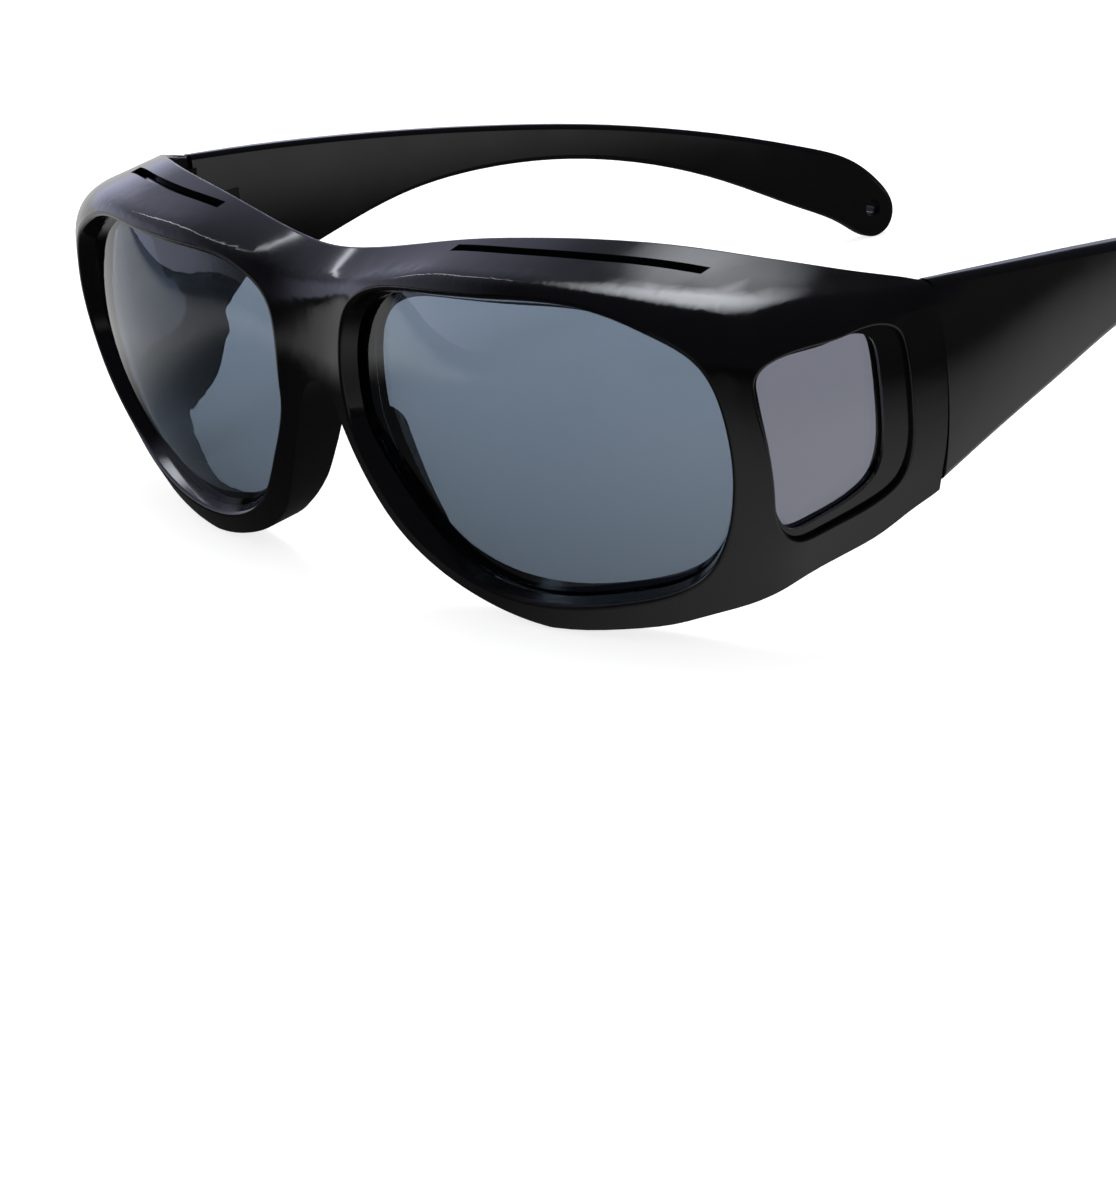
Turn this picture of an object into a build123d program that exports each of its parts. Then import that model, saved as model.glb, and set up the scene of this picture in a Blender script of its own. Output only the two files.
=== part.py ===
"""Fit-over sunglasses: a wrap-round moulded front with two large tinted lenses, two tinted
side windows, and two folding temples on three-barrel metal hinges.

All sizes are millimetres. The pair stands as it does on a table, on the bottoms of its rims and
the tips of its open temples, with zero height there. X runs across the face, Y from the front
back along the temples, Z up. Everything is drawn with the face's foremost line at Y zero, and at
the end the pair is centred over the surface. Left is the wearer's left, which is +X.
"""
from build123d import *
from collections import namedtuple
from math import atan2, copysign, cos, degrees, hypot, radians, sin, sqrt, tan
import os

# Overall sizes of the front
front_half_width = 78.7
side_depth = 41.0
front_height = 51.6

# Walls of the front
rim_depth = 6.2
side_wall = 4.0
roof_thickness = 2.2
brow_round = 8.0
face_radius = 54.0
face_middle = 24.8
face_tilt = 6.4
side_radius = 50.0
side_middle = 32.3
opening_round = 0.6
nose_round = 0.3
rear_round = 0.6
window_round = 0.3

# Lens openings, seen from the front
opening_width = 59.8
opening_height = 42.5
opening_apart = 14.6
rim_below = 4.3

# The gap for the nose, from the middle to the bottom of a rim, and its arch
nose_reach = 36.0
nose_height = 30.3
nose_spread = 3.6

# Front lenses
lens_recess = 2.7
lens_thickness = 1.8
lens_groove = 0.8
lens_clearance = 0.05

# Side windows, seen square on
window_length = 21.1
window_height = 25.5
window_middle = 23.7
window_middle_height = 27.8
window_turn = 22.0
window_step = 0.4
window_ledge = 3.4
window_sill = 1.1
window_step_depth = 0.8
window_recess = 1.6
window_thickness = 1.4

# Vent grooves along the roof
vent_width = 1.7
vent_depth = 1.3
vent_start = 24.4
vent_end = 59.0

# Nose wings behind the inner rims
wing_thickness = 2.2
wing_back = 12.6
wing_top = 26.4
wing_corner = 12.0
wing_bottom = 4.0
wing_round = 4.0

# Hinges
barrel_radius = 1.7
barrel_height = 12.0
barrel_gap = 0.06
screw_radius = 0.7
screw_clearance = 0.03
screw_head_radius = 1.25
screw_head_height = 0.9
screw_slot_width = 0.35
screw_slot_depth = 0.4
leaf_thickness = 1.0
front_leaf_length = 3.8
temple_leaf_length = 8.0
leaf_margin = 0.05
leaf_turning_gap = 0.25
anchor_radius = 1.1
anchor_depth = 1.4
anchor_clearance = 0.05
seam_gap = 0.15

# Temples
temple_length = 135.5
temple_top = 44.2
temple_root_height = 26.0
temple_thickness = 3.4
temple_inset = 20.5
temple_outer_round = 1.2
temple_inner_round = 0.8
cord_hole_radius = 1.5
cord_hole_from_end = 4.6
cord_hole_height = 5.3

# One overrun serves every cut
overrun = 6.0

# The front from its middle to just past the hinge. x and y place a point of the face and back_x
# and back_y the roof's rear edge behind it, as shares of front_half_width and side_depth. low,
# face_top and crest are shares of front_height, and round is a share of brow_round. turn is how
# far the wall has turned from the front's sizes to the side's, and lean is how much of the face's
# tilt is left.
Station = namedtuple("Station", "x y back_x back_y low face_top crest round turn lean")
STATION_SHARES = [
    Station(0.000, 0.090, 0.000, 0.250, 0.004, 0.853, 0.926, 0.23, 0.0, 1.0),
    Station(0.127, 0.048, 0.125, 0.264, 0.004, 0.876, 0.938, 0.23, 0.0, 1.0),
    Station(0.330, 0.000, 0.330, 0.316, 0.004, 0.937, 0.983, 0.22, 0.0, 1.0),
    Station(0.534, 0.051, 0.525, 0.412, 0.018, 0.943, 1.000, 0.26, 0.0, 1.0),
    Station(0.712, 0.176, 0.665, 0.537, 0.064, 0.921, 0.985, 0.48, 0.1, 1.0),
    Station(0.839, 0.312, 0.775, 0.662, 0.128, 0.890, 0.952, 0.85, 0.4, 0.9),
    Station(0.903, 0.420, 0.845, 0.757, 0.163, 0.870, 0.925, 0.95, 0.8, 0.8),
    Station(0.938, 0.580, 0.890, 0.842, 0.198, 0.860, 0.901, 0.80, 1.0, 0.6),
    Station(0.967, 0.790, 0.925, 0.932, 0.250, 0.853, 0.878, 0.44, 1.0, 0.3),
    Station(0.994, 1.000, 0.952, 1.020, 0.336, 0.845, 0.855, 0.18, 1.0, 0.0),
    Station(1.002, 1.060, 0.960, 1.080, 0.360, 0.841, 0.849, 0.16, 1.0, 0.0),
]

# Where the outline of a section is fixed, up the wall and back along the roof
WALL_SHARES = [0.00, 0.25, 0.50, 0.75, 0.90, 1.00]
ROOF_SHARES = [0.00, 0.20, 0.60, 1.00]
UPRIGHT_SHARES = [0.00, 0.25, 0.50, 0.75, 1.00]

# The lens opening, as shares of its width and height from its centre, from the inner edge on
OPENING_SHARES = [
    (-0.503, 0.050),
    (-0.506, 0.215),
    (-0.480, 0.355),
    (-0.395, 0.440),
    (-0.231, 0.482),
    (-0.008, 0.496),
    (0.158, 0.496),
    (0.264, 0.468),
    (0.363, 0.412),
    (0.458, 0.318),
    (0.500, 0.140),
    (0.488, -0.105),
    (0.400, -0.340),
    (0.200, -0.462),
    (-0.010, -0.500),
    (-0.190, -0.472),
    (-0.330, -0.370),
    (-0.437, -0.180),
]

# The gap for the nose, from the middle of its arch outwards, as shares of nose_reach and
# nose_height
NOSE_SHARES = [
    (0.000, 1.000),
    (0.067, 0.957),
    (0.114, 0.861),
    (0.152, 0.726),
    (0.211, 0.564),
    (0.352, 0.290),
    (0.510, 0.150),
    (0.680, 0.070),
    (0.850, 0.024),
    (1.000, 0.006),
    (1.150, -0.010),
]

# The side window, as shares of its length and height from its centre
WINDOW_SHARES = [
    (-0.500, 0.330),
    (-0.458, 0.420),
    (-0.360, 0.460),
    (0.050, 0.487),
    (0.360, 0.494),
    (0.450, 0.452),
    (0.488, 0.350),
    (0.500, 0.050),
    (0.485, -0.180),
    (0.410, -0.310),
    (0.270, -0.385),
    (-0.110, -0.478),
    (-0.260, -0.490),
    (-0.355, -0.430),
    (-0.418, -0.200),
    (-0.460, 0.080),
]

# Where the vent groove crosses the stations from the second on, as a share of the roof there
VENT_SHARES = [0.72, 0.70, 0.62, 0.63, 0.60]

# The temple seen from the side, from the top of its root round the tip to the bottom of its
# root, as shares of temple_length and temple_top
TEMPLE_OUTLINE_SHARES = [
    (0.000, 1.000),
    (0.140, 0.948),
    (0.288, 0.882),
    (0.435, 0.803),
    (0.583, 0.708),
    (0.694, 0.617),
    (0.804, 0.509),
    (0.878, 0.425),
    (0.937, 0.342),
    (0.982, 0.219),
    (1.000, 0.102),
    (0.990, 0.025),
    (0.970, 0.000),
    (0.930, 0.068),
    (0.871, 0.176),
    (0.756, 0.369),
    (0.642, 0.516),
    (0.531, 0.609),
    (0.413, 0.655),
    (0.295, 0.647),
    (0.177, 0.572),
    (0.083, 0.498),
    (0.000, 0.412),
]

# The temple seen from above: its length, inset and middle height as shares of temple_length,
# temple_inset and temple_top, and its thickness there as a share of temple_thickness
TEMPLE_PLAN_SHARES = [
    (-0.040, 0.000, 0.706, 1.18),
    (0.000, 0.000, 0.706, 1.18),
    (0.106, 0.014, 0.746, 1.14),
    (0.210, 0.068, 0.760, 1.06),
    (0.330, 0.152, 0.758, 1.00),
    (0.445, 0.254, 0.723, 0.94),
    (0.560, 0.377, 0.656, 0.94),
    (0.690, 0.545, 0.543, 0.96),
    (0.810, 0.722, 0.392, 1.00),
    (0.930, 0.898, 0.213, 1.04),
    (1.000, 1.000, 0.100, 1.06),
    (1.050, 1.070, 0.030, 1.06),
]


def blend(low, high, share):
    """A size that lies a share of the way from low to high."""
    return low + (high - low) * share


def plan_point(station):
    """The point of a station on the plan outline of the face."""
    return Vector(station.x * front_half_width, station.y * side_depth, 0)


plan_curve = Spline(
    *[plan_point(s) for s in STATION_SHARES],
    tangents=[Vector(1, 0, 0), plan_point(STATION_SHARES[-1]) - plan_point(STATION_SHARES[-2])],
)


def halfway(index):
    """The station halfway between two of the table, on a smooth curve through its neighbours."""
    last = len(STATION_SHARES) - 1
    rows = [STATION_SHARES[min(max(index + step, 0), last)] for step in (-1, 0, 1, 2)]
    if index == 0:
        mirrored = STATION_SHARES[1]
        rows[0] = mirrored._replace(x=-mirrored.x, back_x=-mirrored.back_x)
    middles = [(9 * (b + c) - (a + d)) / 16 for a, b, c, d in zip(*rows)]
    low = plan_curve.param_at_point(plan_point(rows[1]))
    high = plan_curve.param_at_point(plan_point(rows[2]))
    place = plan_curve @ ((low + high) / 2)
    station = Station(*middles)
    return station._replace(x=place.X / front_half_width, y=place.Y / side_depth)


def all_stations():
    """The stations of the table, with the ones halfway between them."""
    stations = []
    for index, station in enumerate(STATION_SHARES[:-1]):
        stations += [station, halfway(index)]
    return stations + [STATION_SHARES[-1]]


def face_depth(station, height):
    """How far the rounded face has fallen back at a height."""
    radius = blend(face_radius, side_radius, station.turn)
    middle = blend(face_middle, side_middle, station.turn)
    return radius - sqrt(radius**2 - (height - middle) ** 2)


def in_wall(station, hand, depth, height):
    """A point of the wall at a station, at a depth below the face."""
    point = plan_point(station)
    along = plan_curve.tangent_at(plan_curve.param_at_point(point))
    inwards = face_depth(station, height) + depth
    tilted = station.lean * tan(radians(face_tilt)) * (face_middle - height)
    x = point.X - along.Y * inwards
    return Vector(hand * x, point.Y + along.X * inwards + tilted, height)


def wall_curve(station, hand, depth, low, high):
    """The wall's upright curve at a station, at a depth below the face."""
    heights = [blend(low, high, share) for share in UPRIGHT_SHARES]
    return Spline(*[in_wall(station, hand, depth, height) for height in heights])


def brow(station, hand):
    """The corner where the face and the roof would meet, and the roof's rear edge."""
    crest = Vector(
        hand * station.back_x * front_half_width,
        station.back_y * side_depth,
        station.crest * front_height,
    )
    return in_wall(station, hand, 0, station.face_top * front_height), crest


def roof_drop(station):
    """The upright thickness of the sloping roof at a station."""
    corner, crest = brow(station, 1)
    rise = (crest.Z - corner.Z) / (crest - corner).length
    return roof_thickness * sqrt(1 + rise**2)


def rounding(corner, one, other, radius):
    """Where a round starts, peaks and ends, from a corner and the two ways out of it."""
    half_corner = radians(one.get_angle(other)) / 2
    reach = radius / tan(half_corner)
    start = corner + one * reach
    end = corner + other * reach
    share = (hypot(reach, radius) - radius) / (reach * cos(half_corner))
    return start, corner + ((start + end) * 0.5 - corner) * share, end


def shell_section(station, hand):
    """The closed outline of the wall and roof at a station."""
    corner, crest = brow(station, hand)
    down = (in_wall(station, hand, 0, corner.Z - roof_thickness) - corner).normalized()
    back = (crest - corner).normalized()
    start, peak, end = rounding(corner, down, back, station.round * brow_round)
    rear = rounding(crest, -back, Vector(0, 0, -1), rear_round)

    wall = blend(rim_depth, side_wall, station.turn)
    drop = Vector(0, 0, roof_drop(station))
    inner_top = corner.Z + back.Z * wall - drop.Z
    low = station.low * front_height
    heights = [blend(low, start.Z, share) for share in WALL_SHARES]
    face = [in_wall(station, hand, 0, height) for height in heights]
    roof = [blend(end, rear[0], share) for share in ROOF_SHARES]
    outside = Spline(*face, peak, *roof, tangents=[face[1] - face[0], back])
    inside = wall_curve(station, hand, wall, low, inner_top)
    return Wire(
        [
            outside,
            ThreePointArc(*rear),
            Line(rear[2], crest - drop),
            Line(crest - drop, inside @ 1),
            inside,
            Line(inside @ 0, outside @ 0),
        ]
    )


def strip_section(station, depth, thickness, low, high):
    """A strip of the left wall at a station, between two depths and two heights."""
    outer = wall_curve(station, 1, depth, low, high)
    inner = wall_curve(station, 1, depth + thickness, low, high)
    return Wire([outer, Line(outer @ 1, inner @ 1), inner, Line(inner @ 0, outer @ 0)])


def strip(stations, depth, thickness):
    """A curved plate that follows the left half of the face at a depth."""
    high = front_height - roof_thickness
    return Solid.make_loft([strip_section(s, depth, thickness, 0, high) for s in stations])


def vent_section(station, share):
    """What is cut away for the vent groove at a station."""
    corner, crest = brow(station, 1)
    across = (crest - corner).normalized() * (vent_width / 2)
    middle = corner + (crest - corner) * share
    up = Vector(0, 0, vent_depth)
    corners = [middle - across - up, middle + across - up, middle + across + up]
    return Wire.make_polygon([*corners, middle - across + up], close=True)


def plan_depth(x):
    """How far back the plan outline of the face is at a place across it."""
    low, high = 0.0, 1.0
    for _ in range(30):
        middle = (low + high) / 2
        if (plan_curve @ middle).X < x:
            low = middle
        else:
            high = middle
    return (plan_curve @ low).Y


def opening_centre():
    """The centre of the left lens opening, across and up."""
    return (opening_apart + opening_width) / 2, rim_below + opening_height / 2


def opening_points(grow):
    """The left lens opening's outline, across and up, grown by a margin."""
    x, z = opening_centre()
    width = opening_width + 2 * grow
    height = opening_height + 2 * grow
    return [(x + share_x * width, z + share_z * height) for share_x, share_z in OPENING_SHARES]


def opening_ring(grow, y):
    """The outline of the lens opening's cut at a depth: the cut narrows towards the eye."""
    x0, z0 = opening_centre()
    flat = STATION_SHARES[0]
    points = []
    for x, z in opening_points(grow):
        tilted = tan(radians(face_tilt)) * (face_middle - z)
        face_y = plan_depth(x) + face_depth(flat, z) + tilted
        share = (face_radius - y) / (face_radius - face_y)
        points.append(Vector(x0 + (x - x0) * share, y, z0 + (z - z0) * share))
    return Wire([Spline(*points, periodic=True)])


def opening_cut(grow):
    """The left lens opening cut right through, square to the rounded face."""
    rings = [opening_ring(grow, -overrun), opening_ring(grow, face_radius / 2)]
    return Solid.make_loft(rings, ruled=True)


def window_cut(grow, shorten=0, lower=0):
    """The left side window cut right through, square to the side, less its ledges behind and below."""
    turn = radians(window_turn)
    inwards = Vector(-cos(turn), sin(turn), 0)
    origin = Vector(front_half_width, window_middle, window_middle_height) - inwards * overrun
    plane = Plane(origin=origin, x_dir=Vector(sin(turn), cos(turn), 0), z_dir=-inwards)
    length = window_length + 2 * grow - shorten
    height = window_height + 2 * grow - lower
    outline = [(y * length - shorten / 2, z * height + lower / 2) for y, z in WINDOW_SHARES]
    spline = Spline(*outline, periodic=True)
    return extrude(plane * Face(Wire([spline])), amount=4 * overrun, dir=inwards)


def pane_cut(grow):
    """The side window's opening inside its ledges, grown by a margin."""
    return window_cut(grow - window_step, window_ledge, window_sill)


def nose_ring(grow, spread, y):
    """The outline of the gap for the nose at a depth, widened and grown by margins."""
    right = [Vector(0, y, nose_height + grow)]
    for share_x, share_z in NOSE_SHARES[1:]:
        x = share_x * nose_reach + spread * sqrt(share_x) + grow
        right.append(Vector(x, y, share_z * nose_height))
    left = [Vector(-p.X, p.Y, p.Z) for p in reversed(right[1:])]
    top = Spline(*left, *right)
    foot = Vector(0, 0, 2 * overrun)
    rest = Polyline(top @ 1, (top @ 1) - foot, (top @ 0) - foot, top @ 0)
    return Wire([top, *rest.edges()])


def nose_cut(grow):
    """What is cut away under the bridge and below the rims, widening towards the face."""
    slope = nose_spread / wing_back
    front = nose_ring(grow, -overrun * slope, -overrun)
    rear = nose_ring(grow, 2 * side_depth * slope, 2 * side_depth)
    return Solid.make_loft([front, rear], ruled=True)


def wings():
    """Both nose wings as one slab across the gap, before the gap is cut."""
    middle = STATION_SHARES[1]
    lean = [in_wall(middle, 1, rim_depth / 2, z).Y for z in (wing_top, wing_bottom)]
    corners = [
        (lean[0], wing_top),
        (wing_back, wing_top),
        (wing_back, wing_corner),
        (lean[1], wing_bottom),
    ]
    outline = Polyline(*[Vector(-nose_reach, y, z) for y, z in corners], close=True)
    slab = extrude(Face(Wire(outline.edges())), amount=2 * nose_reach, dir=Vector(1, 0, 0))
    rear = slab.edges().filter_by(Axis.X).group_by(Axis.Y)[-1]
    return slab.fillet(wing_round, rear)


def both_sides(shape):
    """A shape and its mirror image on the other side of the face."""
    return [shape, shape.mirror(Plane.YZ)]


stations = all_stations()

# The hinge's axis, and how far the side wall flares out at the seam
seam_x = STATION_SHARES[-2].x * front_half_width
axis_x = seam_x - side_wall - barrel_radius + leaf_thickness
axis_z = temple_top - temple_root_height / 2
seam_along = plan_curve.tangent_at(plan_curve.param_at_point(plan_point(STATION_SHARES[-2])))
flare = degrees(atan2(seam_along.X, seam_along.Y))
at_hinge = Pos(axis_x, side_depth, axis_z)
at_front_leaf = at_hinge * Rot(0, 0, -flare)
knuckle_height = (barrel_height - 2 * barrel_gap) / 3


def block(x0, x1, y0, y1, z0, z1):
    """A box between two corners."""
    box = Box(x1 - x0, y1 - y0, z1 - z0, align=(Align.MIN, Align.MIN, Align.MIN))
    return Pos(x0, y0, z0) * box


def knuckle_bottom(index):
    """The bottom of a knuckle, counted upwards, from the middle of the barrel."""
    return index * (knuckle_height + barrel_gap) - barrel_height / 2


def upright(radius, low, high):
    """A round post on the hinge's axis between two heights."""
    post = Cylinder(radius, high - low, align=(Align.CENTER, Align.CENTER, Align.MIN))
    return Pos(0, 0, low) * post


def hinge_leaf(indices, hand, length):
    """One half of the hinge about its axis, its plate ahead of (-1) or behind (1) the axis."""
    half = barrel_height / 2
    inner = barrel_radius - leaf_thickness
    near = barrel_radius + leaf_turning_gap
    depths = sorted([hand * near, hand * length])
    leaf = block(inner, barrel_radius, *depths, -half, half)
    leaf += anchor_post(anchor_radius, anchor_depth, hand * length)
    for index in indices:
        low = knuckle_bottom(index)
        high = low + knuckle_height
        leaf += upright(barrel_radius, low, high)
        leaf += block(inner, barrel_radius, *sorted([0, hand * near]), low, high)
    return leaf - upright(screw_radius + screw_clearance, -barrel_height, barrel_height)


def anchor_post(radius, depth, length):
    """The round post that anchors a leaf of a length in the wall outside it."""
    along = (length + copysign(barrel_radius, length)) / 2
    post = Cylinder(radius, leaf_thickness / 2 + depth, align=(Align.CENTER, Align.CENTER, Align.MIN))
    return Pos(barrel_radius - leaf_thickness / 2, along, 0) * Rot(0, 90, 0) * post


def hinge_pocket(hand, length):
    """The room that a leaf, the barrel and the screw head take out of the wall."""
    half = barrel_height / 2 + leaf_margin
    depths = sorted([-hand * overrun, hand * (length + leaf_margin)])
    room = block(-overrun, barrel_radius + leaf_margin, *depths, -half, half)
    room += upright(barrel_radius + leaf_turning_gap, -half, half)
    head_top = half + screw_head_height + leaf_turning_gap
    room += upright(screw_head_radius + leaf_turning_gap, 0, head_top)
    room += block(-overrun, 0, *sorted([-hand * overrun, hand * barrel_radius]), 0, head_top)
    hole_radius = anchor_radius + anchor_clearance
    return room + anchor_post(hole_radius, anchor_depth + anchor_clearance, hand * length)


def hinge_screw():
    """The screw that the hinge turns on, with a slotted head on top of the barrel."""
    half = barrel_height / 2
    top = half + screw_head_height
    screw = upright(screw_radius, -half, half) + upright(screw_head_radius, half, top)
    wide = screw_head_radius
    slot = block(-wide, wide, -screw_slot_width / 2, screw_slot_width / 2, top - screw_slot_depth, top)
    return screw - slot


def temple_section(along, inset, middle, thickness):
    """The temple's cross-section: a rounded outside and a flat inside."""
    y = side_depth + along * temple_length
    x = seam_x - inset * temple_inset
    z = middle * temple_top
    half = 0.58 * temple_root_height
    inner_x = x - thickness * temple_thickness
    outer_x = x - side_radius + sqrt(side_radius**2 - half**2)
    top = Vector(outer_x, y, z + half)
    bottom = Vector(outer_x, y, z - half)
    arc = ThreePointArc(bottom, Vector(x, y, z), top)
    rest = Polyline(top, Vector(inner_x, y, z + half), Vector(inner_x, y, z - half), bottom)
    return Wire([arc, *rest.edges()])


def temple_outline():
    """The temple's outline seen from the side, as a slab across it."""
    x = seam_x + overrun
    places = [(side_depth + y * temple_length, z * temple_top) for y, z in TEMPLE_OUTLINE_SHARES]
    edge = Spline(*[Vector(x, y, z) for y, z in places])
    root = Line(edge @ 1, edge @ 0)
    across = temple_inset + temple_thickness + 3 * overrun
    return extrude(Face(Wire([edge, root])), amount=across, dir=Vector(-1, 0, 0))


def left_temple_shape():
    """The left temple, open."""
    plate = Solid.make_loft([temple_section(*row) for row in TEMPLE_PLAN_SHARES])
    temple = plate & temple_outline()
    half_gap = block(0, 2 * front_half_width, 0, side_depth + seam_gap / 2, -overrun, 2 * front_height)
    temple = temple - half_gap
    long_edges = temple.edges().filter_by(lambda e: e.length > temple_length)
    outer = long_edges.sort_by(Axis.X)[-1]
    temple = temple.fillet(temple_outer_round, [outer])
    long_edges = temple.edges().filter_by(lambda e: e.length > temple_length)
    inner = long_edges.sort_by(Axis.X)[0]
    temple = temple.fillet(temple_inner_round, [inner])
    hole_y = side_depth + temple_length - cord_hole_from_end
    hole = Cylinder(cord_hole_radius, 4 * temple_inset, rotation=(0, 90, 0))
    temple = temple - Pos(seam_x - temple_inset, hole_y, cord_hole_height) * hole
    return temple - at_hinge * hinge_pocket(1, temple_leaf_length)


def behind_seam():
    """All that lies behind the seam between the front and the temples."""
    wide = 2 * front_half_width
    near = side_depth - seam_gap / 2
    return block(-wide, wide, near, 2 * side_depth, -2 * overrun, 2 * front_height)


def outer_face(shape):
    """The outside of the front's wall, found at the middle of the bridge."""
    station = STATION_SHARES[0]
    height = (nose_height + station.face_top * front_height) / 2
    return shape.faces().sort_by_distance(in_wall(station, 1, 0, height))[0]


def inner_outlines(shape):
    """The edges of the openings in the outside of the front's wall."""
    return [edge for wire in outer_face(shape).inner_wires() for edge in wire.edges()]


def nose_edge(shape):
    """The edge round the gap for the nose in the outside of the front's wall."""
    return [outer_face(shape).outer_wire().edges().sort_by_distance(Vector(0, 0, nose_height))[0]]


def front_shell():
    """The front as one wrapped wall with a roof, with the nose wings, before its openings."""
    both = [(s, -1) for s in reversed(stations)]
    both += [(s, 1) for s in stations[1:]]
    shell = Solid.make_loft([shell_section(station, hand) for station, hand in both])
    shell = shell - behind_seam()
    shell = shell + (wings() & nose_cut(wing_thickness))
    shell = shell - nose_cut(0)
    return shell.fillet(nose_round, nose_edge(shell))


def vent_groove():
    """The left vent groove along the roof, square at its outer end."""
    sections = [vent_section(s, v) for s, v in zip(STATION_SHARES[1:], VENT_SHARES)]
    span = block(vent_start, vent_end, 0, side_depth, 0, 2 * front_height)
    return Solid.make_loft(sections) & span


def groove(cut, recess, thickness, stations):
    """The groove that holds a lens, inside the walls of its opening."""
    ring = strip(stations, recess - lens_clearance, thickness + 2 * lens_clearance)
    return ring & cut


def front_frame_shape():
    """The whole moulded front: openings, lens grooves, window steps, vents and hinge pockets."""
    frame = front_shell() - both_sides(opening_cut(0))
    frame = frame.fillet(opening_round, inner_outlines(frame))
    known = [edge.center() for edge in inner_outlines(frame)]
    step = strip(window_stations, -overrun, overrun + window_step_depth) & window_cut(0)
    frame = frame - both_sides(step)
    rims = [e for e in inner_outlines(frame) if min((e.center() - k).length for k in known) > overrun]
    frame = frame.fillet(window_round, rims)
    frame = frame - both_sides(pane_cut(0))
    lens_seat = groove(opening_cut(lens_groove), lens_recess, lens_thickness, lens_stations)
    window_seat = groove(pane_cut(lens_groove), window_recess, window_thickness, window_stations)
    frame = frame - both_sides(lens_seat) - both_sides(window_seat) - both_sides(vent_groove())
    return frame - both_sides(at_front_leaf * hinge_pocket(-1, front_leaf_length))


lens_stations = STATION_SHARES[:8]
window_stations = STATION_SHARES[4:]
lens_edge = lens_groove - lens_clearance
left_pieces = {
    "lens": strip(lens_stations, lens_recess, lens_thickness) & opening_cut(lens_edge),
    "side_lens": strip(window_stations, window_recess, window_thickness) & pane_cut(lens_edge),
    "temple": left_temple_shape(),
    "front_hinge": at_front_leaf * hinge_leaf((0, 2), -1, front_leaf_length),
    "temple_hinge": at_hinge * hinge_leaf((1,), 1, temple_leaf_length),
    "hinge_screw": at_hinge * hinge_screw(),
}

pieces = {"front_frame": front_frame_shape()}
for name, shape in left_pieces.items():
    pieces["left_" + name] = shape
    pieces["right_" + name] = shape.mirror(Plane.YZ)

# The pair stands centred on the origin, on its lowest points
boxes = [shape.bounding_box() for shape in pieces.values()]
nearest = min(box.min.Y for box in boxes)
farthest = max(box.max.Y for box in boxes)
middle_y = (nearest + farthest) / 2
to_middle = Pos(0, -middle_y, -min(box.min.Z for box in boxes))

os.makedirs("parts", exist_ok=True)
for name, shape in pieces.items():
    export_step(to_middle * shape, f"parts/{name}.step")
    print(name, shape.is_valid, len(shape.solids()), round(shape.volume, 1))
axis_place = (to_middle * at_hinge).position
print("left hinge axis", axis_place.X, axis_place.Y, axis_place.Z)
print("cord hole", side_depth + temple_length - cord_hole_from_end - middle_y, cord_hole_height)
print("from", nearest - middle_y, "to", farthest - middle_y)
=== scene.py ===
"""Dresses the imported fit-over sunglasses: a moulded black frame, smoke lenses and metal hinges.

Everything is in metres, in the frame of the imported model: X runs across the face, Y from the
front back along the temples, Z up. Every solid keeps its own mesh and gets its finish here, and
the stage round it has a pale floor, soft lamps and a camera at the photograph's angle.
"""

import logging
from dataclasses import dataclass
from enum import Enum
from math import pi

import bmesh
import bpy
from mathutils import Matrix, Vector


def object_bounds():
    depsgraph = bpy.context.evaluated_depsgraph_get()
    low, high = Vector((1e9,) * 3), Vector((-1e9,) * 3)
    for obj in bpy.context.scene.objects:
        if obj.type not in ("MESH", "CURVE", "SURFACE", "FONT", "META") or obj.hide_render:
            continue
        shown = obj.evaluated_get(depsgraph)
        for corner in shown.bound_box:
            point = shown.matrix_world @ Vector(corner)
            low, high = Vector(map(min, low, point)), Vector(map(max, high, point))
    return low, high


logger = logging.getLogger("sunglasses")
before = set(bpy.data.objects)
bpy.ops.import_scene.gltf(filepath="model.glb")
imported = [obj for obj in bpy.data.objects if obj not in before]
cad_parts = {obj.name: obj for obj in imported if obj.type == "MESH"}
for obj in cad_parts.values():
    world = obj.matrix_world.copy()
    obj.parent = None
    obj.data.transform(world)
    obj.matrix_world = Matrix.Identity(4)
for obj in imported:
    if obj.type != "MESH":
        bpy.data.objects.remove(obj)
cad_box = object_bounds()

MM = 0.001
IMAGE_HEIGHT = 1200

# The colour sockets of a mix node
MIX_LOW, MIX_HIGH, MIX_RESULT = 6, 7, 2


class Side(Enum):
    """The wearer's side that a piece is on."""

    LEFT = "left"
    RIGHT = "right"


def to_linear(code: str) -> tuple[float, float, float, float]:
    """Turns an sRGB hex colour to a linear one.

    Args:
        code: The colour as six hex digits after a hash.

    Returns:
        Red, green, blue and a full alpha.
    """
    shares = [int(code[place : place + 2], 16) / 255 for place in (1, 3, 5)]
    red, green, blue = (s / 12.92 if s <= 0.04045 else ((s + 0.055) / 1.055) ** 2.4 for s in shares)
    return (red, green, blue, 1.0)


def spots(size_mm: float) -> float:
    """Gives the scale of a noise texture whose spots are some millimetres across."""
    return 1 / (size_mm * MM)


def add_node(
    tree: bpy.types.NodeTree,
    kind: str,
    values: dict | None = None,
    links: dict | None = None,
    **settings: object,
) -> bpy.types.Node:
    """Adds a node with its settings, socket values and links.

    Args:
        tree: The node tree that the node goes into.
        kind: The node's type.
        values: Socket names or numbers, each with its value.
        links: Socket names or numbers, each with the output that feeds it.
        settings: The node's own properties.

    Returns:
        The new node.
    """
    node = tree.nodes.new(kind)
    for name, setting in settings.items():
        setattr(node, name, setting)
    for socket, value in (values or {}).items():
        node.inputs[socket].default_value = value
    for socket, source in (links or {}).items():
        tree.links.new(source, node.inputs[socket])
    return node


def empty_material(name: str) -> tuple[bpy.types.Material, bpy.types.NodeTree]:
    """Makes a node material that holds no nodes yet.

    Args:
        name: The material's name.

    Returns:
        The material and its node tree.
    """
    material = bpy.data.materials.new(name)
    material.use_nodes = True
    material.node_tree.nodes.clear()
    return material, material.node_tree


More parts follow.
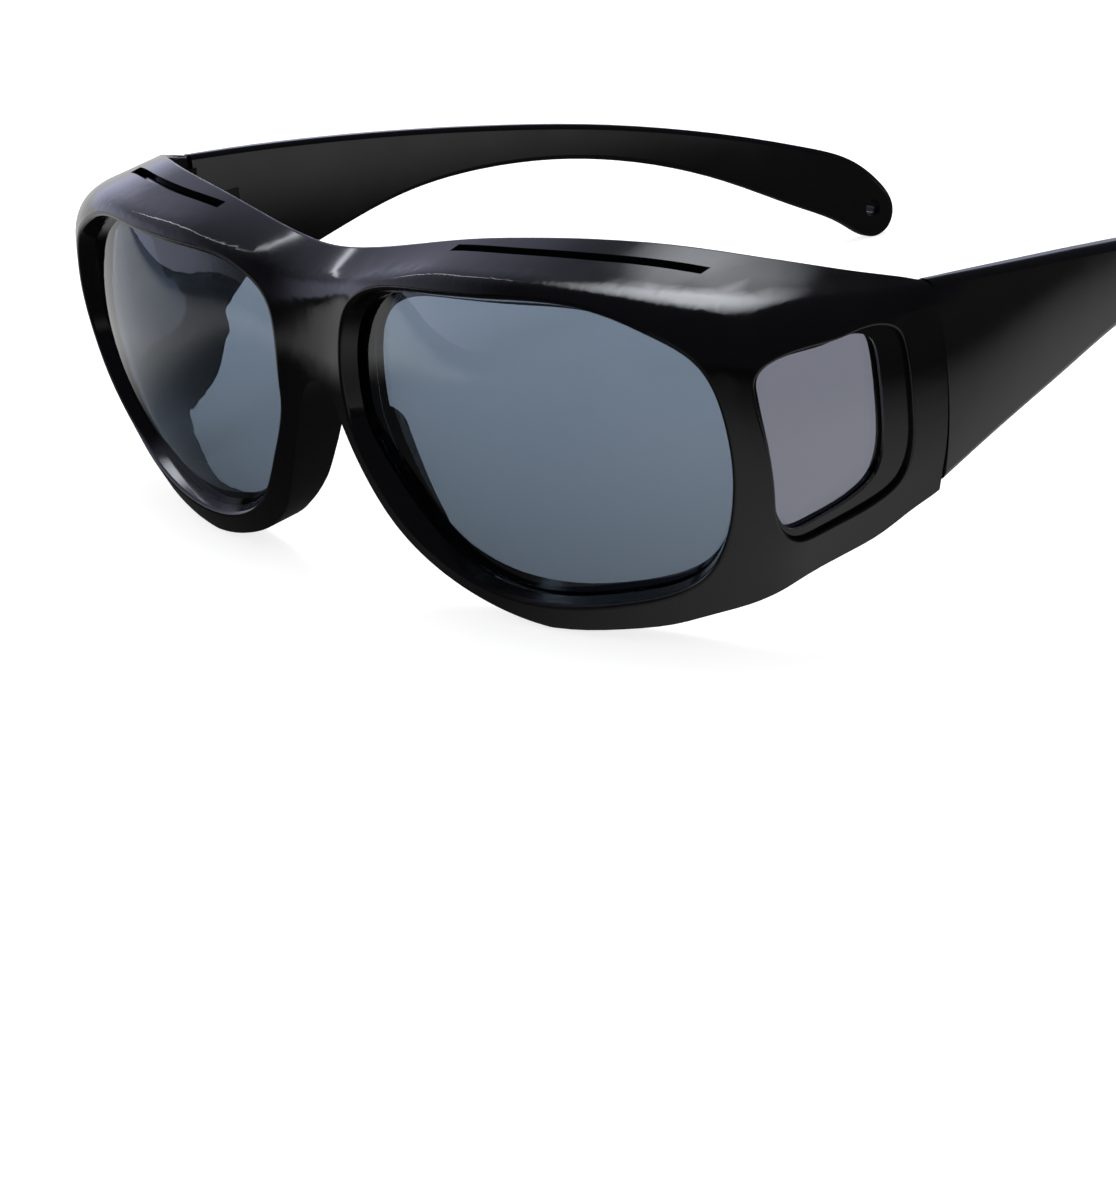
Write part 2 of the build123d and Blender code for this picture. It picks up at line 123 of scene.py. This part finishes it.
@dataclass(frozen=True)
class MouldedNylon:
    """Black nylon from a polished mould: deep black, with sharp but slightly soft reflections."""

    name: str = "moulded_black_nylon"
    colour: str = "#070708"
    pale_colour: str = "#0d0d0f"
    roughness: float = 0.09
    rough_spread: float = 0.05
    ior: float = 1.53
    flow_mm: float = 11.0
    peel_mm: float = 2.2
    peel_height_mm: float = 0.003
    flow_bend: float = 0.4
    flow_span: tuple[float, float] = (0.3, 0.7)

    def build(self) -> bpy.types.Material:
        """Builds the material, with flow marks in its gloss and a faint orange peel."""
        material, tree = empty_material(self.name)
        place = add_node(tree, "ShaderNodeTexCoord").outputs["Object"]
        flow = add_node(
            tree,
            "ShaderNodeTexNoise",
            {"Scale": spots(self.flow_mm), "Detail": 3.0, "Distortion": self.flow_bend},
            {"Vector": place},
        ).outputs["Fac"]
        peel = add_node(
            tree,
            "ShaderNodeTexNoise",
            {"Scale": spots(self.peel_mm), "Detail": 1.0},
            {"Vector": place},
        ).outputs["Fac"]
        colour = add_node(
            tree,
            "ShaderNodeMix",
            {MIX_LOW: to_linear(self.colour), MIX_HIGH: to_linear(self.pale_colour)},
            {0: flow},
            data_type="RGBA",
        )
        low, high = self.flow_span
        rough = add_node(
            tree,
            "ShaderNodeMapRange",
            {
                "From Min": low,
                "From Max": high,
                "To Min": self.roughness,
                "To Max": self.roughness + self.rough_spread,
            },
            {"Value": flow},
        )
        bump = add_node(
            tree,
            "ShaderNodeBump",
            {"Strength": 0.5, "Distance": self.peel_height_mm * MM},
            {"Height": peel},
        )
        inputs = {
            "Base Color": colour.outputs[MIX_RESULT],
            "Roughness": rough.outputs["Result"],
            "Normal": bump.outputs["Normal"],
        }
        shader = add_node(tree, "ShaderNodeBsdfPrincipled", {"IOR": self.ior}, inputs)
        add_node(tree, "ShaderNodeOutputMaterial", links={"Surface": shader.outputs["BSDF"]})
        return material


@dataclass(frozen=True)
class SmokeLens:
    """Smoke-tinted polycarbonate, hard coated: clear to look through, grey with a little blue."""

    name: str = "smoke_polycarbonate"
    top_colour: str = "#64707e"
    bottom_colour: str = "#4a545e"
    ior: float = 1.50
    low_mm: float = 5.0
    high_mm: float = 45.0

    def build(self) -> bpy.types.Material:
        """Builds the material, with a tint that is a little deeper at the bottom."""
        material, tree = empty_material(self.name)
        place = add_node(tree, "ShaderNodeTexCoord").outputs["Object"]
        height = add_node(tree, "ShaderNodeSeparateXYZ", links={0: place}).outputs["Z"]
        span = {"From Min": self.low_mm * MM, "From Max": self.high_mm * MM}
        share = add_node(tree, "ShaderNodeMapRange", span, {"Value": height})
        tint = add_node(
            tree,
            "ShaderNodeMix",
            {MIX_LOW: to_linear(self.bottom_colour), MIX_HIGH: to_linear(self.top_colour)},
            {0: share.outputs["Result"]},
            data_type="RGBA",
        )
        shader = add_node(
            tree,
            "ShaderNodeBsdfPrincipled",
            {"IOR": self.ior, "Roughness": 0.0, "Transmission Weight": 1.0},
            {"Base Color": tint.outputs[MIX_RESULT]},
        )
        passing = add_node(tree, "ShaderNodeBsdfTransparent", links={"Color": tint.outputs[MIX_RESULT]})
        ray = add_node(tree, "ShaderNodeLightPath")
        surface = add_node(
            tree,
            "ShaderNodeMixShader",
            links={0: ray.outputs["Is Shadow Ray"], 1: shader.outputs["BSDF"], 2: passing.outputs["BSDF"]},
        )
        add_node(tree, "ShaderNodeOutputMaterial", links={"Surface": surface.outputs["Shader"]})
        return material


@dataclass(frozen=True)
class PlatedMetal:
    """Dark plated metal, tumbled or turned: dull, with fine grain in its gloss."""

    name: str
    colour: str = "#b4b1ab"
    roughness: float = 0.24
    rough_spread: float = 0.14
    grain_mm: float = 0.5
    grain_height_mm: float = 0.006
    stretch: float = 1.0

    def build(self) -> bpy.types.Material:
        """Builds the material, with a grain drawn coarse enough to show."""
        material, tree = empty_material(self.name)
        place = add_node(tree, "ShaderNodeTexCoord").outputs["Object"]
        drawn = add_node(tree, "ShaderNodeMapping", {"Scale": (1, 1, 1 / self.stretch)}, {0: place})
        grain = add_node(
            tree,
            "ShaderNodeTexNoise",
            {"Scale": spots(self.grain_mm), "Detail": 4.0},
            {"Vector": drawn.outputs[0]},
        ).outputs["Fac"]
        rough = add_node(
            tree,
            "ShaderNodeMapRange",
            {"To Min": self.roughness, "To Max": self.roughness + self.rough_spread},
            {"Value": grain},
        )
        bump = add_node(
            tree,
            "ShaderNodeBump",
            {"Strength": 0.5, "Distance": self.grain_height_mm * MM},
            {"Height": grain},
        )
        shader = add_node(
            tree,
            "ShaderNodeBsdfPrincipled",
            {"Base Color": to_linear(self.colour), "Metallic": 1.0},
            {"Roughness": rough.outputs["Result"], "Normal": bump.outputs["Normal"]},
        )
        add_node(tree, "ShaderNodeOutputMaterial", links={"Surface": shader.outputs["BSDF"]})
        return material


def dress(node: str, material: bpy.types.Material) -> None:
    """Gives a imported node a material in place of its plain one.

    Args:
        node: The node's name.
        material: The material for all its faces.
    """
    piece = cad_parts[node]
    for slot in piece.material_slots:
        slot.material = material
    logger.info("%s is %s", node, material.name)


@dataclass
class Front:
    """The moulded front with its lenses and side windows."""

    plastic: bpy.types.Material
    smoke: bpy.types.Material
    side_smoke: bpy.types.Material

    def dress(self) -> None:
        """Gives the front and its four lenses their finishes."""
        dress("front_frame", self.plastic)
        for side in Side:
            dress(f"{side.value}_lens", self.smoke)
            dress(f"{side.value}_side_lens", self.side_smoke)


@dataclass
class Arm:
    """A temple with its hinge and screw."""

    side: Side
    plastic: bpy.types.Material
    hinge_metal: bpy.types.Material
    screw_metal: bpy.types.Material

    def dress(self) -> None:
        """Gives the temple, both halves of its hinge and the screw their finishes."""
        dress(f"{self.side.value}_temple", self.plastic)
        dress(f"{self.side.value}_front_hinge", self.hinge_metal)
        dress(f"{self.side.value}_temple_hinge", self.hinge_metal)
        dress(f"{self.side.value}_hinge_screw", self.screw_metal)


@dataclass
class Lamp:
    """A soft box, placed by the direction it lies in from the sunglasses, with a fading edge."""

    name: str
    direction: tuple[float, float, float]
    width: float
    height: float
    radiance: float
    feather: float
    layers: int
    lies_along: tuple[float, float, float] = (0.0, 0.0, 1.0)
    distance: float = 0.9
    layer_gap: float = 0.002
    tint: str = "#f4f8ff"

    def build(self, target: Vector) -> None:
        """Builds the lamp as layers that grow by the feather, so its edge fades out.

        Args:
            target: The point that the lamp faces.
        """
        way = Vector(self.direction).normalized()
        across = Vector(self.lies_along).cross(way).normalized()
        facing = Matrix((across, way.cross(across), way)).transposed().to_4x4()
        for layer in range(self.layers):
            grown = self.feather * layer / (self.layers - 1)
            light = bpy.data.lights.new(f"{self.name}_{layer}", "AREA")
            light.shape = "ELLIPSE"
            light.size = self.width + grown
            light.size_y = self.height + grown
            light.energy = self.radiance / self.layers * light.size * light.size_y * pi**2 / 4
            light.color = to_linear(self.tint)[:3]
            lamp = bpy.data.objects.new(light.name, light)
            bpy.context.scene.collection.objects.link(lamp)
            reach = self.distance + layer * self.layer_gap
            lamp.matrix_world = Matrix.Translation(target + way * reach) @ facing


@dataclass
class Studio:
    """The pale floor, the world round it, the lamps and the camera."""

    floor_size: float = 8.0
    floor_glow: float = 0.80
    floor_colour: str = "#c8c8c8"
    # Painted reflection: the floor's glow in reflections only, bright in bands and dim elsewhere, with
    # painted shade under the sunglasses.
    near_reflected_glow: float = 0.14
    far_reflected_glow: float = 1.10
    reflected_glow_reach: float = 0.42
    bright_band_start: float = 0.02
    bright_band_near: float = 0.08
    bright_band_far: float = 0.15
    bright_band_edge: float = 0.20
    # The dim level of the painted reflection; under the sunglasses it is painted shade.
    dim_reflected_glow: float = 0.07
    left_reflected_glow: float = 0.62
    left_band_reach: float = 0.45
    sky_gloss: float = 0.05
    side_gloss: float = 0.50
    horizon_gloss: float = 0.50
    sky_tint: str = "#dfe2ff"
    side_span: tuple[float, float] = (-0.85, -0.35)
    horizon_span: tuple[float, float] = (0.12, 0.30)
    fill: float = 0.45
    clip_near: float = 0.01
    clip_far: float = 50.0
    focal_pixels: float = 3359.58
    sensor: float = 36.0
    eye_ahead_mm: float = 255.296
    eye_aside_mm: float = 344.357
    eye_height_mm: float = 157.603
    right: tuple[float, float, float] = (0.67596, 0.72948, -0.10456)
    up: tuple[float, float, float] = (-0.19470, 0.31363, 0.92937)
    back: tuple[float, float, float] = (0.71075, -0.60786, 0.35403)

    def camera(self) -> None:
        """Places the camera where the photograph was taken from."""
        data = bpy.data.cameras.new("camera")
        data.sensor_fit = "VERTICAL"
        data.sensor_height = self.sensor
        data.lens = self.focal_pixels / IMAGE_HEIGHT * self.sensor
        data.clip_start = self.clip_near
        data.clip_end = self.clip_far
        camera = bpy.data.objects.new("camera", data)
        bpy.context.scene.collection.objects.link(camera)
        turned = Matrix((self.right, self.up, self.back)).transposed().to_4x4()
        eye = Vector((self.eye_aside_mm, -self.eye_ahead_mm, self.eye_height_mm)) * MM
        eye.y += cad_box[0][1]
        camera.matrix_world = Matrix.Translation(eye) @ turned
        bpy.context.scene.camera = camera

    def floor_material(self) -> bpy.types.Material:
        """Builds the floor's finish: white to look at, with the object's shadow kept.

        In reflections alone it glows as a painted reflection: dim, with painted shade under the
        sunglasses, and a pale band beside the left temple, which grows paler to the back, and another at
        the far side.
        """
        material, tree = empty_material("floor")
        place = add_node(tree, "ShaderNodeTexCoord").outputs["Object"]
        way = add_node(tree, "ShaderNodeSeparateXYZ", links={0: place})
        # Painted reflection: a pale band of glow beside the left temple, fading to the dim level outwards.
        beyond = add_node(
            tree,
            "ShaderNodeMapRange",
            {
                "From Min": self.bright_band_near,
                "From Max": self.bright_band_edge,
                "To Min": 1.0,
                "To Max": self.dim_reflected_glow,
            },
            {"Value": way.outputs["X"]},
            interpolation_type="SMOOTHSTEP",
        )
        # Painted shade: towards the middle the band fades to the dim level under the sunglasses.
        inside = add_node(
            tree,
            "ShaderNodeMapRange",
            {
                "From Min": self.bright_band_start,
                "From Max": self.bright_band_near,
                "To Min": self.dim_reflected_glow,
                "To Max": 1.0,
            },
            {"Value": way.outputs["X"]},
            interpolation_type="SMOOTHSTEP",
        )
        bright_bands = add_node(
            tree,
            "ShaderNodeMath",
            links={0: beyond.outputs["Result"], 1: inside.outputs["Result"]},
            operation="MINIMUM",
        )
        # The painted reflection grows paler from the front to the back.
        fade = add_node(
            tree,
            "ShaderNodeMapRange",
            {
                "From Min": -self.reflected_glow_reach,
                "From Max": self.reflected_glow_reach,
                "To Min": self.near_reflected_glow,
                "To Max": self.far_reflected_glow,
            },
            {"Value": way.outputs["Y"]},
            interpolation_type="SMOOTHSTEP",
        )
        near = add_node(
            tree,
            "ShaderNodeMath",
            links={0: fade.outputs["Result"], 1: bright_bands.outputs[0]},
            operation="MULTIPLY",
        )
        # Painted reflection: a second pale band at the far side, towards the back.
        left = add_node(
            tree,
            "ShaderNodeMapRange",
            {
                "From Min": -self.bright_band_far,
                "From Max": -self.bright_band_near,
                "To Min": self.left_reflected_glow,
                "To Max": 0.0,
            },
            {"Value": way.outputs["X"]},
            interpolation_type="SMOOTHSTEP",
        )
        ahead = add_node(
            tree,
            "ShaderNodeMapRange",
            {"From Min": -self.left_band_reach, "From Max": -self.left_band_reach / 2},
            {"Value": way.outputs["Y"]},
            interpolation_type="SMOOTHSTEP",
        )
        reflected_glow = add_node(
            tree,
            "ShaderNodeMath",
            links={
                0: left.outputs["Result"],
                1: ahead.outputs["Result"],
                2: near.outputs[0],
            },
            operation="MULTIPLY_ADD",
        )
        ray = add_node(tree, "ShaderNodeLightPath")
        seen = add_node(
            tree,
            "ShaderNodeMath",
            links={0: ray.outputs["Is Camera Ray"], 1: ray.outputs["Is Transmission Ray"]},
            operation="MAXIMUM",
        )
        plain = add_node(tree, "ShaderNodeEmission", {"Strength": self.floor_glow})
        # An emission seen in reflections only: a painted reflection, though the floor is no lamp.
        painted_reflection = add_node(tree, "ShaderNodeEmission", links={"Strength": reflected_glow.outputs[0]})
        dark = add_node(tree, "ShaderNodeEmission", {"Strength": 0.0})
        matt = add_node(tree, "ShaderNodeBsdfDiffuse", {"Color": to_linear(self.floor_colour)})
        glow = add_node(
            tree,
            "ShaderNodeMixShader",
            links={0: seen.outputs[0], 1: dark.outputs[0], 2: plain.outputs[0]},
        )
        lit = add_node(tree, "ShaderNodeAddShader", links={0: glow.outputs[0], 1: matt.outputs[0]})
        mirrored = add_node(
            tree,
            "ShaderNodeMixShader",
            links={0: ray.outputs["Is Glossy Ray"], 1: lit.outputs[0], 2: painted_reflection.outputs[0]},
        )
        direct = add_node(
            tree,
            "ShaderNodeMixShader",
            links={0: seen.outputs[0], 1: mirrored.outputs[0], 2: lit.outputs[0]},
        )
        add_node(tree, "ShaderNodeOutputMaterial", links={"Surface": direct.outputs[0]})
        return material

    def floor(self) -> None:
        """Lays the floor under the sunglasses."""
        mesh = bpy.data.meshes.new("floor")
        shape = bmesh.new()
        bmesh.ops.create_grid(shape, x_segments=1, y_segments=1, size=self.floor_size / 2)
        shape.to_mesh(mesh)
        shape.free()
        mesh.materials.append(self.floor_material())
        ground = bpy.data.objects.new("floor", mesh)
        bpy.context.scene.collection.objects.link(ground)

    def world(self) -> None:
        """Builds the world: white behind everything, and for reflections dim, but paler at the left."""
        world = bpy.data.worlds.new("studio")
        world.use_nodes = True
        tree = world.node_tree
        tree.nodes.clear()
        ray = add_node(tree, "ShaderNodeLightPath")
        seen = add_node(
            tree,
            "ShaderNodeMath",
            links={0: ray.outputs["Is Camera Ray"], 1: ray.outputs["Is Transmission Ray"]},
            operation="MAXIMUM",
        )
        white = add_node(tree, "ShaderNodeBackground", {"Strength": 1.0, "Color": (1, 1, 1, 1)})
        fill = add_node(tree, "ShaderNodeBackground", {"Strength": self.fill, "Color": (1, 1, 1, 1)})
        way = add_node(
            tree,
            "ShaderNodeSeparateXYZ",
            links={0: add_node(tree, "ShaderNodeTexCoord").outputs["Generated"]},
        )
        side, middle = self.side_span
        horizon, above = self.horizon_span
        aside = add_node(
            tree,
            "ShaderNodeMapRange",
            {"From Min": side, "From Max": middle, "To Min": 1.0, "To Max": 0.0},
            {"Value": way.outputs["X"]},
            interpolation_type="SMOOTHSTEP",
        )
        low = add_node(
            tree,
            "ShaderNodeMapRange",
            {
                "From Min": horizon,
                "From Max": above,
                "To Min": self.side_gloss + self.horizon_gloss,
                "To Max": self.side_gloss,
            },
            {"Value": way.outputs["Z"]},
        )
        sky = add_node(
            tree,
            "ShaderNodeMath",
            {2: self.sky_gloss},
            {0: aside.outputs["Result"], 1: low.outputs["Result"]},
            operation="MULTIPLY_ADD",
        )
        dim = add_node(
            tree,
            "ShaderNodeBackground",
            {"Color": to_linear(self.sky_tint)},
            {"Strength": sky.outputs[0]},
        )
        unseen = add_node(
            tree,
            "ShaderNodeMixShader",
            links={0: ray.outputs["Is Glossy Ray"], 1: fill.outputs[0], 2: dim.outputs[0]},
        )
        both = add_node(
            tree,
            "ShaderNodeMixShader",
            links={0: seen.outputs[0], 1: unseen.outputs[0], 2: white.outputs[0]},
        )
        add_node(tree, "ShaderNodeOutputWorld", links={"Surface": both.outputs[0]})
        bpy.context.scene.world = world

    def build(self, lamps: list[Lamp]) -> None:
        """Builds the whole stage.

        Args:
            lamps: The soft boxes that light it.
        """
        middle = Vector([(low + high) / 2 for low, high in zip(*cad_box)])
        self.camera()
        self.floor()
        self.world()
        for lamp in lamps:
            lamp.build(middle)


TOP_LIES_ALONG = (-0.55, 0.83, 0.0)
LAMPS = [
    Lamp(
        "top_box",
        direction=(-0.15, 0.15, 0.95),
        width=0.12,
        height=0.34,
        radiance=8.8,
        feather=0.50,
        layers=8,
        lies_along=TOP_LIES_ALONG,
    ),
    Lamp(
        "left_strip",
        direction=(-0.74, -0.03, 0.67),
        width=0.02,
        height=0.55,
        radiance=7.0,
        feather=0.03,
        layers=2,
    ),
]


def main() -> None:
    """Dresses the sunglasses piece by piece and builds the stage."""
    plastic = MouldedNylon().build()
    smoke = SmokeLens().build()
    side_smoke = SmokeLens("side_smoke_polycarbonate", "#686972", "#66676f").build()
    hinge_metal = PlatedMetal("black_nickel_plated_brass", "#3a3938").build()
    screw_metal = PlatedMetal(
        "blackened_steel",
        "#4a4a4a",
        roughness=0.18,
        rough_spread=0.10,
        grain_mm=0.3,
        grain_height_mm=0.004,
        stretch=6.0,
    ).build()
    Front(plastic, smoke, side_smoke).dress()
    for side in Side:
        Arm(side, plastic, hinge_metal, screw_metal).dress()
    Studio().build(LAMPS)
    bpy.context.scene.view_settings.view_transform = "Standard"


if __name__ == "__main__":
    logging.basicConfig(level=logging.INFO)
    main()
